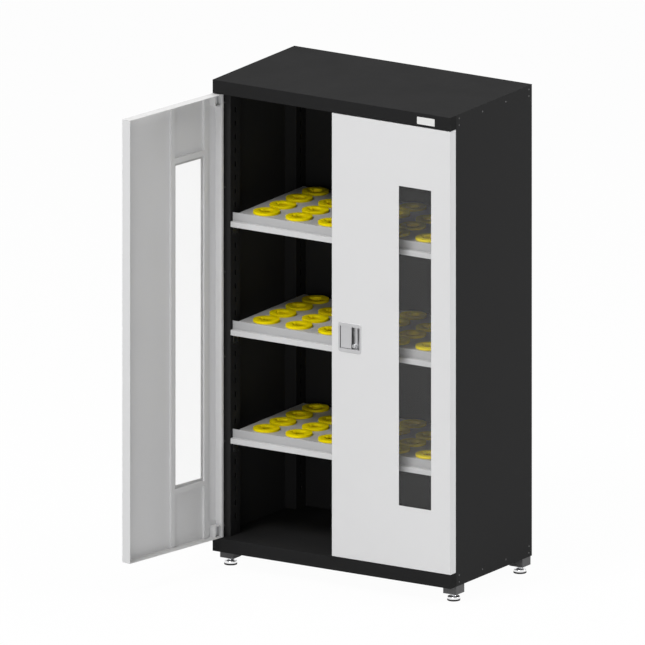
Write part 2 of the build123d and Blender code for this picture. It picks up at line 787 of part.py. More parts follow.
def tray_sockets(seat):
    """One plastic socket in each hole of the tray whose top is at this height."""
    hollow = socket_neck - 2 * socket_neck_wall
    with BuildPart() as sockets:
        with BuildSketch(Plane.XY.offset(seat)):
            with Locations(*socket_places):
                Circle(socket_flange_radius)
                Circle(socket_bore_radius, mode=Mode.SUBTRACT)
        extrude(amount=socket_flange_height)
        with BuildSketch(Plane.XY.offset(seat)):
            with Locations(*socket_places):
                Rectangle(socket_neck, socket_neck)
                Rectangle(hollow, hollow, mode=Mode.SUBTRACT)
        extrude(amount=-socket_neck_depth)
        with BuildSketch(Plane.XY.offset(seat)):
            with Locations(*socket_places):
                Rectangle(hollow, hollow)
        extrude(amount=socket_land, mode=Mode.SUBTRACT)
    return sockets


for level, frame_bottom in zip(level_names, frame_bottoms):
    tray_bottom = frame_bottom + frame_height
    save(hung_frame(frame_bottom).part, f"tray_frame_{level}")
    save(frame_clips(frame_bottom).part, f"frame_clips_{level}")
    save(Compound(socket_tray(tray_bottom)), f"socket_tray_{level}")
    save(tray_sockets(tray_bottom + tray_height).part, f"tool_sockets_{level}")

# ------------------------------------------------------------------ legs and levelling feet
corners = {
    "front_left": (-leg_x, -leg_y),
    "front_right": (leg_x, -leg_y),
    "rear_left": (-leg_x, leg_y),
    "rear_right": (leg_x, leg_y),
}


def leg(x, y):
    """A square tube under one corner of the base, closed at the bottom round the foot's stem."""
    top = floor_top - sheet - fit_gap
    with BuildPart() as tube:
        with BuildSketch(Plane.XY.offset(leg_bottom)):
            with Locations((x, y)):
                RectangleRounded(leg_side, leg_side, bend)
        extrude(amount=top - leg_bottom)
        with BuildSketch(Plane.XY.offset(leg_bottom + leg_floor)):
            with Locations((x, y)):
                Rectangle(leg_side - 2 * leg_wall, leg_side - 2 * leg_wall)
        extrude(amount=top, mode=Mode.SUBTRACT)
        with BuildSketch(Plane.XY.offset(leg_bottom)):
            with Locations((x, y)):
                Circle(stem_radius + running_gap)
        extrude(amount=leg_floor, mode=Mode.SUBTRACT)
    return tube


def levelling_foot(x, y):
    """Pad, neck and stem of one foot, turned about its stem."""
    with BuildPart() as foot:
        with BuildSketch(Plane(origin=(x, y, 0), x_dir=(1, 0, 0), z_dir=(0, -1, 0))):
            with BuildLine():
                Polyline((0, sole_thickness), (pad_radius, sole_thickness),
                         (pad_radius, sole_thickness + pad_thickness),
                         (neck_radius, sole_thickness + pad_thickness + 2),
                         (neck_radius, sole_thickness + pad_thickness + neck_height),
                         (stem_radius, sole_thickness + pad_thickness + neck_height),
                         (stem_radius, stem_top), (0, stem_top), close=True)
            make_face()
        revolve(axis=Axis((x, y, 0), (0, 0, 1)))
    return foot


def foot_sole(x, y):
    """Rubber disc under one foot."""
    with BuildPart() as sole:
        with BuildSketch():
            with Locations((x, y)):
                Circle(sole_radius)
        extrude(amount=sole_thickness)
    return sole


for name, (x, y) in corners.items():
    save(leg(x, y).part, f"leg_{name}")
    save(levelling_foot(x, y).part, f"foot_{name}")
    save(foot_sole(x, y).part, f"foot_sole_{name}")

with BuildPart() as locknuts:
    with BuildSketch(Plane.XY.offset(leg_bottom)):
        with GridLocations(2 * leg_x, 2 * leg_y, 2, 2):
            RegularPolygon(locknut_flats / 2, 6, major_radius=False)
            Circle(stem_radius + running_gap, mode=Mode.SUBTRACT)
    extrude(amount=-locknut_thickness)
save(locknuts.part, "foot_locknuts")
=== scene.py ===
"""Tool-holder cabinet: finishes, fine parts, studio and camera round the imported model.

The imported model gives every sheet, door, tray and foot. This script paints them, adds the fine
parts that the model leaves out, such as rivets, screws and the badge plate, and replaces the tool
sockets and the levelling feet with finely moulded and turned ones. Lengths are in metres.
"""

from __future__ import annotations

import json
import logging
import math
from dataclasses import dataclass, field
from enum import Enum
from typing import Iterable, Sequence

import bmesh
import bpy
from mathutils import Matrix, Vector

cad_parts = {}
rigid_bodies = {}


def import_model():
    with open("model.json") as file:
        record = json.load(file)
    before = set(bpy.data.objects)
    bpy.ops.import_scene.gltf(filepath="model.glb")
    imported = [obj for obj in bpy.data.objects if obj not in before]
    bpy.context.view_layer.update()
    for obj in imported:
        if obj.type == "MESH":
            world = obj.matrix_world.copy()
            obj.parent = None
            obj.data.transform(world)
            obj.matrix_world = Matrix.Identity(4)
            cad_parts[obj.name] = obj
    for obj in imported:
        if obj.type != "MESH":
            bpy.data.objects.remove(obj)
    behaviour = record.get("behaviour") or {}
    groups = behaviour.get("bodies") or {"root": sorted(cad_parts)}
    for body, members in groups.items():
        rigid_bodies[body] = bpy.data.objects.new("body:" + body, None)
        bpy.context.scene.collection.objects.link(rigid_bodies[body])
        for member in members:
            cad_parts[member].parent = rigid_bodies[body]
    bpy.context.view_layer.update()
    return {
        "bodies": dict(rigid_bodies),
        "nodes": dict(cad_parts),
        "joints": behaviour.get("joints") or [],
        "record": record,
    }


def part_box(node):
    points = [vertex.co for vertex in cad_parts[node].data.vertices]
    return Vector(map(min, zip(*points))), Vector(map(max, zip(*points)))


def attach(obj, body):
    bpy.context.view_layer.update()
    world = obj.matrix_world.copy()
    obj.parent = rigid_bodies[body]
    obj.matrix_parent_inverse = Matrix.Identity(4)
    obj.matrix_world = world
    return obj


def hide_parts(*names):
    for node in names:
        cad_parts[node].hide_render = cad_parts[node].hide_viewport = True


LOG = logging.getLogger("tool_cabinet")
MM = 0.001

Colour = tuple[float, float, float]
Point = tuple[float, float, float]

# Colour laid on upward faces: settled dust on most coats, and painted shade on the door coat's
# upward faces.
METAL_DUST_AND_SHADE: Colour = (0.42, 0.41, 0.39)
PLASTIC_DUST: Colour = (0.45, 0.44, 0.42)
FOLD_RADIUS = 0.9 * MM
SHARP_EDGE = math.radians(35.0)


# ---------------------------------------------------------------- shared surface effects
class Effect(Enum):
    """Surface effects that several finishes share, each one a node group."""

    PEEL = "orange_peel"
    HANDLING = "handling_marks"
    EDGE = "edge_light"
    BRUSHED = "brushed_lines"
    DUST_AND_SHADE = "dust_and_top_shade"


class Wiring:
    """Adds nodes to one shader node tree and links them."""

    tree: bpy.types.NodeTree

    def node(self, kind: str, **settings: object) -> bpy.types.Node:
        """Add a node.

        Args:
            kind: Node type without its ShaderNode prefix.
            **settings: Node properties to set.

        Returns:
            The new node.
        """
        made = self.tree.nodes.new(f"ShaderNode{kind}")
        for key, value in settings.items():
            setattr(made, key, value)
        return made

    def join(self, source: bpy.types.NodeSocket, target: bpy.types.NodeSocket) -> None:
        """Link two sockets."""
        self.tree.links.new(source, target)


@dataclass
class GroupMaker(Wiring):
    """Builds one shader node group.

    Attributes:
        tree: The node group being built.
        entry: Its Group Input node.
        out: Its Group Output node.
    """

    name: str
    tree: bpy.types.NodeTree = field(init=False)
    entry: bpy.types.Node = field(init=False)
    out: bpy.types.Node = field(init=False)

    def __post_init__(self) -> None:
        """Make an empty group with its input and output nodes."""
        self.tree = bpy.data.node_groups.new(self.name, "ShaderNodeTree")
        self.entry = self.tree.nodes.new("NodeGroupInput")
        self.out = self.tree.nodes.new("NodeGroupOutput")

    def takes(self, name: str, kind: str, default: float | None = None) -> None:
        """Add an input socket.

        Args:
            name: Socket name.
            kind: Vector or Float.
            default: Value of a Float socket that nothing feeds.
        """
        socket = self.tree.interface.new_socket(
            name=name, in_out="INPUT", socket_type=f"NodeSocket{kind}"
        )
        if default is not None:
            socket.default_value = default

    def gives(self, name: str, kind: str, source: bpy.types.NodeSocket) -> None:
        """Add an output socket and feed it.

        Args:
            name: Socket name.
            kind: Float, Color or Vector.
            source: Socket inside the group that feeds it.
        """
        self.tree.interface.new_socket(
            name=name, in_out="OUTPUT", socket_type=f"NodeSocket{kind}"
        )
        self.join(source, self.out.inputs[name])

    def maths(self, operation: str, first: object, second: object = 0.0) -> bpy.types.NodeSocket:
        """Add a Math node.

        Args:
            operation: Math operation, such as MULTIPLY.
            first: Socket or number for the first operand.
            second: Socket or number for the second operand.

        Returns:
            The node's output socket.
        """
        made = self.node("Math", operation=operation)
        for place, value in enumerate((first, second)):
            if isinstance(value, bpy.types.NodeSocket):
                self.join(value, made.inputs[place])
            else:
                made.inputs[place].default_value = value
        return made.outputs[0]


class SharedEffects:
    """Holds the node groups of the shared effects and places them in materials."""

    def __init__(self) -> None:
        """Build each effect's group once."""
        self.groups: dict[Effect, bpy.types.NodeTree] = {
            Effect.PEEL: self._peel(),
            Effect.HANDLING: self._handling(),
            Effect.EDGE: self._edge(),
            Effect.BRUSHED: self._brushed(),
            Effect.DUST_AND_SHADE: self._dust_and_shade(),
        }

    def _peel(self) -> bpy.types.NodeTree:
        """Height of the fine, slightly pebbled skin of baked powder or moulded plastic."""
        group = GroupMaker(Effect.PEEL.value)
        group.takes("Vector", "Vector")
        group.takes("Scale", "Float", 500.0)
        fine = group.node("TexNoise")
        fine.inputs["Detail"].default_value = 2.0
        coarse = group.node("TexVoronoi", feature="SMOOTH_F1")
        for texture in (fine, coarse):
            group.join(group.entry.outputs["Vector"], texture.inputs["Vector"])
        group.join(group.entry.outputs["Scale"], fine.inputs["Scale"])
        group.join(
            group.maths("MULTIPLY", group.entry.outputs["Scale"], 0.45), coarse.inputs["Scale"]
        )
        pebbles = group.maths("MULTIPLY", coarse.outputs["Distance"], 0.5)
        group.gives("Height", "Float", group.maths("ADD", fine.outputs["Fac"], pebbles))
        return group.tree

    def _handling(self) -> bpy.types.NodeTree:
        """Roughness that drifts between two values, as where sheets were wiped and handled."""
        group = GroupMaker(Effect.HANDLING.value)
        group.takes("Vector", "Vector")
        group.takes("Glossiest", "Float", 0.3)
        group.takes("Dullest", "Float", 0.4)
        cloud = group.node("TexNoise")
        cloud.inputs["Scale"].default_value = 7.0
        cloud.inputs["Detail"].default_value = 5.0
        cloud.inputs["Roughness"].default_value = 0.62
        group.join(group.entry.outputs["Vector"], cloud.inputs["Vector"])
        spread = group.node("MapRange")
        spread.inputs["From Min"].default_value = 0.3
        spread.inputs["From Max"].default_value = 0.7
        group.join(cloud.outputs["Fac"], spread.inputs["Value"])
        group.join(group.entry.outputs["Glossiest"], spread.inputs["To Min"])
        group.join(group.entry.outputs["Dullest"], spread.inputs["To Max"])
        group.gives("Roughness", "Float", spread.outputs["Result"])
        group.gives("Cloud", "Float", cloud.outputs["Fac"])
        return group.tree

    def _edge(self) -> bpy.types.NodeTree:
        """Mask of the thin painted highlight along a fold or a cut edge."""
        group = GroupMaker(Effect.EDGE.value)
        group.takes("Vector", "Vector")
        group.takes("Radius", "Float", 0.0008)
        rounded = group.node("Bevel", samples=4)
        flat = group.node("NewGeometry")
        compare = group.node("VectorMath", operation="DOT_PRODUCT")
        group.join(group.entry.outputs["Radius"], rounded.inputs["Radius"])
        group.join(rounded.outputs["Normal"], compare.inputs[0])
        group.join(flat.outputs["Normal"], compare.inputs[1])
        turned = group.maths("SUBTRACT", 1.0, compare.outputs["Value"])
        patchy = group.node("TexNoise")
        patchy.inputs["Scale"].default_value = 60.0
        patchy.inputs["Detail"].default_value = 3.0
        group.join(group.entry.outputs["Vector"], patchy.inputs["Vector"])
        broken = group.node("MapRange")
        broken.inputs["From Min"].default_value = 0.42
        broken.inputs["From Max"].default_value = 0.6
        group.join(patchy.outputs["Fac"], broken.inputs["Value"])
        strong = group.maths("MULTIPLY", turned, 6.0)
        limited = group.maths("MINIMUM", strong, 1.0)
        group.gives("Mask", "Float", group.maths("MULTIPLY", limited, broken.outputs["Result"]))
        return group.tree

    def _brushed(self) -> bpy.types.NodeTree:
        """Value of fine parallel lines, long in one direction of the vector."""
        group = GroupMaker(Effect.BRUSHED.value)
        group.takes("Vector", "Vector")
        lines = group.node("TexNoise")
        lines.inputs["Scale"].default_value = 1.0
        lines.inputs["Detail"].default_value = 4.0
        group.join(group.entry.outputs["Vector"], lines.inputs["Vector"])
        group.gives("Value", "Float", lines.outputs["Fac"])
        return group.tree

    def _dust_and_shade(self) -> bpy.types.NodeTree:
        """Mask of upward faces, broken by noise: settled dust on most finishes, and painted shade
        on the door's upward faces.
        """
        group = GroupMaker(Effect.DUST_AND_SHADE.value)
        group.takes("Vector", "Vector")
        group.takes("Amount", "Float", 0.1)
        faces = group.node("NewGeometry")
        parts = group.node("SeparateXYZ")
        group.join(faces.outputs["Normal"], parts.inputs["Vector"])
        upward = group.maths("MAXIMUM", parts.outputs["Z"], 0.0)
        specks = group.node("TexNoise")
        specks.inputs["Scale"].default_value = 24.0
        specks.inputs["Detail"].default_value = 8.0
        specks.inputs["Roughness"].default_value = 0.7
        group.join(group.entry.outputs["Vector"], specks.inputs["Vector"])
        lying = group.maths("MULTIPLY", upward, specks.outputs["Fac"])
        group.gives("Mask", "Float", group.maths("MULTIPLY", lying, group.entry.outputs["Amount"]))
        return group.tree


@dataclass
class PaintShop(Wiring):
    """Wires one Principled material with the shared effects.

    Attributes:
        name: Material name.
        effects: The shared node groups.
        material: The material being made.
        tree: Its node tree.
        shader: Its Principled shader.
        place: Its object coordinates.
    """

    name: str
    effects: SharedEffects
    material: bpy.types.Material = field(init=False)
    tree: bpy.types.NodeTree = field(init=False)
    shader: bpy.types.Node = field(init=False)
    place: bpy.types.NodeSocket = field(init=False)

    def __post_init__(self) -> None:
        """Make the material, its shader and its object coordinates."""
        self.material = bpy.data.materials.new(self.name)
        self.material.use_nodes = True
        self.tree = self.material.node_tree
        self.shader = self.tree.nodes["Principled BSDF"]
        self.place = self.node("TexCoord").outputs["Object"]

    def fix(self, **values: object) -> None:
        """Set constants on the shader's own sockets, with _ in a name for a space."""
        for key, value in values.items():
            self.shader.inputs[key.replace("_", " ")].default_value = value

    def effect(self, which: Effect, vector: bpy.types.NodeSocket | None = None,
               **values: float) -> bpy.types.Node:
        """Place a shared effect.

        Args:
            which: The effect.
            vector: Coordinates that it reads, if not the plain object coordinates.
            **values: Its inputs.

        Returns:
            The group node.
        """
        made = self.node("Group")
        made.node_tree = self.effects.groups[which]
        self.join(vector or self.place, made.inputs["Vector"])
        for key, value in values.items():
            made.inputs[key].default_value = value
        return made

    def blend(self, mask: bpy.types.NodeSocket, under: object,
              over: object) -> bpy.types.NodeSocket:
        """Mix two colours by a mask.

        Args:
            mask: 0 for the lower colour, 1 for the upper one.
            under: Lower colour or socket.
            over: Upper colour or socket.

        Returns:
            The mixed colour's socket.
        """
        made = self.node("Mix", data_type="RGBA")
        self.join(mask, made.inputs["Factor"])
        for socket, value in ((made.inputs[6], under), (made.inputs[7], over)):
            if isinstance(value, bpy.types.NodeSocket):
                self.join(value, socket)
            else:
                socket.default_value = (*value, 1.0)
        return made.outputs[2]

    def bump(self, height: bpy.types.NodeSocket, depth: float) -> None:
        """Feed a height, scaled to a depth in metres, to the shader's normal."""
        made = self.node("Bump")
        made.inputs["Distance"].default_value = depth
        made.inputs["Strength"].default_value = 1.0
        self.join(height, made.inputs["Height"])
        self.join(made.outputs["Normal"], self.shader.inputs["Normal"])

    def stretched(self, scale: Point) -> bpy.types.NodeSocket:
        """Object coordinates scaled by these factors."""
        made = self.node("Mapping")
        made.inputs["Scale"].default_value = scale
        self.join(self.place, made.inputs["Vector"])
        return made.outputs["Vector"]


# ---------------------------------------------------------------- finishes
@dataclass(frozen=True)
class PowderCoat:
    """Baked powder coat on folded sheet steel."""

    name: str
    colour: Colour
    # lighter colour painted along folds and edges as a highlight
    edge_highlight_colour: Colour
    glossiest: float
    dullest: float
    peel_scale: float = 620.0
    peel_depth: float = 0.00005
    drift: float = 0.10
    # share of the upward tint: dust, and on the door a painted shade
    dust_and_shade: float = 0.0
    specular: float = 0.5

    def make(self, effects: SharedEffects) -> bpy.types.Material:
        """Build the finish.

        Args:
            effects: The shared effect groups.

        Returns:
            The material.
        """
        shop = PaintShop(self.name, effects)
        handling = shop.effect(Effect.HANDLING, Glossiest=self.glossiest, Dullest=self.dullest)
        shop.join(handling.outputs["Roughness"], shop.shader.inputs["Roughness"])
        darker = tuple(channel * (1.0 - self.drift) for channel in self.colour)
        coat = shop.blend(handling.outputs["Cloud"], darker, self.colour)
        # painted highlight: a lighter colour along rounded folds and edges
        edge = shop.effect(Effect.EDGE, Radius=FOLD_RADIUS)
        coat = shop.blend(edge.outputs["Mask"], coat, self.edge_highlight_colour)
        # upward faces take settled dust, and on the door coat a painted shade
        if self.dust_and_shade:
            dust_and_shade = shop.effect(Effect.DUST_AND_SHADE, Amount=self.dust_and_shade)
            coat = shop.blend(dust_and_shade.outputs["Mask"], coat, METAL_DUST_AND_SHADE)
        shop.join(coat, shop.shader.inputs["Base Color"])
        peel = shop.effect(Effect.PEEL, Scale=self.peel_scale)
        shop.bump(peel.outputs["Height"], self.peel_depth)
        shop.fix(Specular_IOR_Level=self.specular)
        return shop.material


@dataclass(frozen=True)
class PlatedMetal:
    """Plated or brushed metal, with fine lines along one axis."""

    name: str
    colour: Colour
    glossiest: float
    dullest: float
    line_scale: Point = (900.0, 900.0, 40.0)
    line_depth: float = 0.00001
    stain: Colour = (0.30, 0.29, 0.27)
    stain_amount: float = 0.12

    def make(self, effects: SharedEffects) -> bpy.types.Material:
        """Build the finish.

        Args:
            effects: The shared effect groups.

        Returns:
            The material.
        """
        shop = PaintShop(self.name, effects)
        shop.fix(Metallic=1.0)
        handling = shop.effect(Effect.HANDLING, Glossiest=self.glossiest, Dullest=self.dullest)
        shop.join(handling.outputs["Roughness"], shop.shader.inputs["Roughness"])
        lines = shop.effect(Effect.BRUSHED, shop.stretched(self.line_scale))
        faint = shop.node("MapRange")
        faint.inputs["From Min"].default_value = 0.45
        faint.inputs["From Max"].default_value = 0.75
        faint.inputs["To Max"].default_value = self.stain_amount
        shop.join(lines.outputs["Value"], faint.inputs["Value"])
        shop.join(
            shop.blend(faint.outputs["Result"], self.colour, self.stain),
            shop.shader.inputs["Base Color"],
        )
        shop.bump(lines.outputs["Value"], self.line_depth)
        return shop.material


@dataclass(frozen=True)
class Moulded:
    """Moulded plastic, rubber or foam with a fine grained skin."""

    name: str
    colour: Colour
    shade: Colour
    glossiest: float
    dullest: float
    grain_scale: float = 900.0
    grain_depth: float = 0.00003
    glow: float = 0.0
    dust_and_shade: float = 0.0
    specular: float = 0.3

    def make(self, effects: SharedEffects) -> bpy.types.Material:
        """Build the finish.

        Args:
            effects: The shared effect groups.

        Returns:
            The material.
        """
        shop = PaintShop(self.name, effects)
        handling = shop.effect(Effect.HANDLING, Glossiest=self.glossiest, Dullest=self.dullest)
        shop.join(handling.outputs["Roughness"], shop.shader.inputs["Roughness"])
        body = shop.blend(handling.outputs["Cloud"], self.shade, self.colour)
        if self.dust_and_shade:
            dust_and_shade = shop.effect(Effect.DUST_AND_SHADE, Amount=self.dust_and_shade)
            body = shop.blend(dust_and_shade.outputs["Mask"], body, PLASTIC_DUST)
        shop.join(body, shop.shader.inputs["Base Color"])
        grain = shop.effect(Effect.PEEL, Scale=self.grain_scale)
        shop.bump(grain.outputs["Height"], self.grain_depth)
        shop.fix(Specular_IOR_Level=self.specular)
        if self.glow:
            shop.fix(Subsurface_Weight=self.glow, Subsurface_Scale=0.004)
        return shop.material


@dataclass(frozen=True)
class ClearPane:
    """Clear sheet that keeps a faint grey veil and light wiping smears."""

    name: str
    veil: Colour
    opacity: float
    specular: float = 0.2

    def make(self, effects: SharedEffects) -> bpy.types.Material:
        """Build the finish.

        Args:
            effects: The shared effect groups.

        Returns:
            The material.
        """
        shop = PaintShop(self.name, effects)
        wiped = shop.effect(
            Effect.HANDLING, shop.stretched((1.0, 1.0, 0.25)), Glossiest=0.03, Dullest=0.12
        )
        shop.join(wiped.outputs["Roughness"], shop.shader.inputs["Roughness"])
        smear = shop.node("MapRange")
        smear.inputs["To Min"].default_value = self.opacity * 0.85
        smear.inputs["To Max"].default_value = self.opacity * 1.15
        shop.join(wiped.outputs["Cloud"], smear.inputs["Value"])
        shop.join(smear.outputs["Result"], shop.shader.inputs["Alpha"])
        brighter = tuple(min(1.0, channel * 1.08) for channel in self.veil)
        shop.join(
            shop.blend(wiped.outputs["Cloud"], self.veil, brighter),
            shop.shader.inputs["Base Color"],
        )
        shop.fix(Specular_IOR_Level=self.specular)
        return shop.material


class Finish(Enum):
    """Every finish on the cabinet."""

    # In each powder coat the second colour is a painted highlight along folds and edges.
    CARCASS = PowderCoat("carcass_black_coat", (0.021, 0.021, 0.0213), (0.05, 0.05, 0.05),
                         0.46, 0.56, dust_and_shade=0.005, drift=0.08, specular=0.004)
    # Painted light: the side panels carry the same black coat as the rest, made lighter here for
    # the light that falls on them.
    SIDE_LIT = PowderCoat("side_black_coat_painted_light", (0.030, 0.030, 0.0303), (0.05, 0.05, 0.05),
                      0.46, 0.56, drift=0.06, specular=0.006)
    LEG = PowderCoat("leg_grey_coat", (0.14, 0.14, 0.142), (0.18, 0.18, 0.18), 0.5, 0.65,
                     peel_scale=260.0, peel_depth=0.00025, drift=0.25, specular=0.1)
    # the door's large upward share is painted shade that darkens its upward faces
    DOOR = PowderCoat("door_light_grey_coat", (0.70, 0.70, 0.705), (0.80, 0.80, 0.80), 0.36, 0.46,
                      drift=0.02, dust_and_shade=0.6, specular=0.3)
    TRAY = PowderCoat("tray_grey_coat", (0.46, 0.46, 0.465), (0.58, 0.58, 0.58), 0.36, 0.48,
                      drift=0.04, dust_and_shade=0.04, specular=0.3)
    FRAME = PowderCoat("frame_light_coat", (0.63, 0.63, 0.635), (0.80, 0.80, 0.80), 0.32, 0.42,
                       drift=0.03, specular=0.3)
    SOCKET = Moulded("socket_yellow_plastic", (0.86, 0.70, 0.0), (0.80, 0.64, 0.0), 0.5, 0.6,
                     grain_depth=0.00001, glow=0.05, specular=0.1)
    PANE = ClearPane("window_clear_sheet", (0.50, 0.50, 0.50), 0.05)
    FOAM = Moulded("grey_foam_tape", (0.60, 0.60, 0.60), (0.54, 0.54, 0.54), 0.8, 0.9,
                   grain_scale=1500.0, grain_depth=0.0002)
    NYLON = Moulded("natural_nylon", (0.75, 0.74, 0.69), (0.66, 0.65, 0.60), 0.4, 0.5, glow=0.1)
    ZINC = PlatedMetal("bright_zinc", (0.66, 0.67, 0.69), 0.28, 0.42, stain_amount=0.2)
    LATCH = PlatedMetal("satin_chrome", (0.56, 0.56, 0.57), 0.34, 0.44,
                        line_scale=(40.0, 900.0, 900.0), stain_amount=0.06)
    CHROME = PlatedMetal("foot_bright_plating", (0.84, 0.84, 0.85), 0.06, 0.14, stain_amount=0.05)
    SOLE = Moulded("foot_sole_rubber", (0.022, 0.022, 0.022), (0.015, 0.015, 0.015), 0.6, 0.75,
                   grain_scale=700.0, grain_depth=0.0001, dust_and_shade=0.05)
    BADGE = PowderCoat("badge_bare_plate", (0.74, 0.74, 0.73), (0.82, 0.82, 0.82), 0.25, 0.35,
                       drift=0.03)
    RIVET = PowderCoat("rivet_black_coat", (0.05, 0.05, 0.05), (0.14, 0.14, 0.14), 0.3, 0.42,
                       peel_scale=1500.0, drift=0.1)


class Paints:
    """Makes each finish's material once."""

    def __init__(self) -> None:
        """Build the shared effects and start with no material."""
        self.effects = SharedEffects()
        self.made: dict[Finish, bpy.types.Material] = {}

    def of(self, finish: Finish) -> bpy.types.Material:
        """The finish's material, made on first use."""
        if finish not in self.made:
            self.made[finish] = finish.value.make(self.effects)
        return self.made[finish]


# ---------------------------------------------------------------- mesh helpers
def spun(bm: bmesh.types.BMesh, profile: Sequence[tuple[float, float]], steps: int) -> list:
    """Turn a profile about the Z axis.

    Args:
        bm: Mesh that receives the turned shape.
        profile: Radius and height of each profile point, in order.
        steps: Segments of the full turn.

    Returns:
        The new vertices.
    """
    before = set(bm.verts)
    points = [bm.verts.new((radius, 0.0, height)) for radius, height in profile]
    edges = [bm.edges.new(pair) for pair in zip(points, points[1:])]
    bmesh.ops.spin(bm, geom=points + edges, cent=(0, 0, 0), axis=(0, 0, 1),
                   angle=math.tau, steps=steps, use_merge=True)
    made = [vert for vert in bm.verts if vert not in before]
    bmesh.ops.remove_doubles(bm, verts=made, dist=1e-6)
    return [vert for vert in bm.verts if vert not in before]


def repeated(bm: bmesh.types.BMesh, places: Sequence[Matrix]) -> None:
    """Copy the whole mesh to each place and delete the first one.

    Args:
        bm: Mesh with one piece at the origin.
        places: Transform of each copy.
    """
    first = bm.verts[:] + bm.edges[:] + bm.faces[:]
    for place in places:
        copy = bmesh.ops.duplicate(bm, geom=first)
        verts = [item for item in copy["geom"] if isinstance(item, bmesh.types.BMVert)]
        bmesh.ops.transform(bm, matrix=place, verts=verts)
    bmesh.ops.delete(bm, geom=[item for item in first if isinstance(item, bmesh.types.BMVert)],
                     context="VERTS")


def facing(place: Vector, direction: Vector) -> Matrix:
    """Transform that stands a piece made along +Z on a place, pointing in a direction."""
    return Matrix.Translation(place) @ direction.to_track_quat("Z", "Y").to_matrix().to_4x4()


@dataclass
class Workshop:
    """What every sub-assembly needs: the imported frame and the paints."""

    frame: dict
    paints: Paints

    @property
    def nodes(self) -> dict[str, bpy.types.Object]:
        """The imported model's nodes by name."""
        return self.frame["nodes"]

    def dress(self, names: Iterable[str], finish: Finish) -> None:
        """Put a finish on CAD nodes.

        Args:
            names: Names of the nodes to dress.
            finish: Their finish.
        """
        for name in names:
            for slot in self.nodes[name].material_slots:
                slot.material = self.paints.of(finish)
            LOG.info("dressed %s with %s", name, finish.value.name)

    def named(self, *beginnings: str) -> list[str]:
        """Names of the CAD nodes that start with any of these."""
        return [name for name in self.nodes if name.startswith(beginnings)]

    def piece(self, bm: bmesh.types.BMesh, name: str, finish: Finish, body: str,
              slot: str) -> bpy.types.Object:
        """Turn a finished bmesh into a piece that rides on a body.

        Args:
            bm: The finished mesh. It is freed.
            name: Name of the piece.
            finish: Its finish.
            body: Body that it moves with.
            slot: The record's material slot that it stands nearest to. Not used.

        Returns:
            The piece's object.
        """
        bmesh.ops.remove_doubles(bm, verts=bm.verts, dist=1e-7)
        bmesh.ops.recalc_face_normals(bm, faces=bm.faces)
        mesh = bpy.data.meshes.new(name)
        for face in bm.faces:
            face.smooth = True
        for edge in bm.edges:
            if edge.is_manifold and edge.calc_face_angle(0.0) > SHARP_EDGE:
                edge.smooth = False
        bm.to_mesh(mesh)
        bm.free()
        mesh.materials.append(self.paints.of(finish))
        made = bpy.data.objects.new(name, mesh)
        bpy.context.scene.collection.objects.link(made)
        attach(made, body)
        LOG.info("made %s on %s, %d faces", name, body, len(mesh.polygons))
        return made


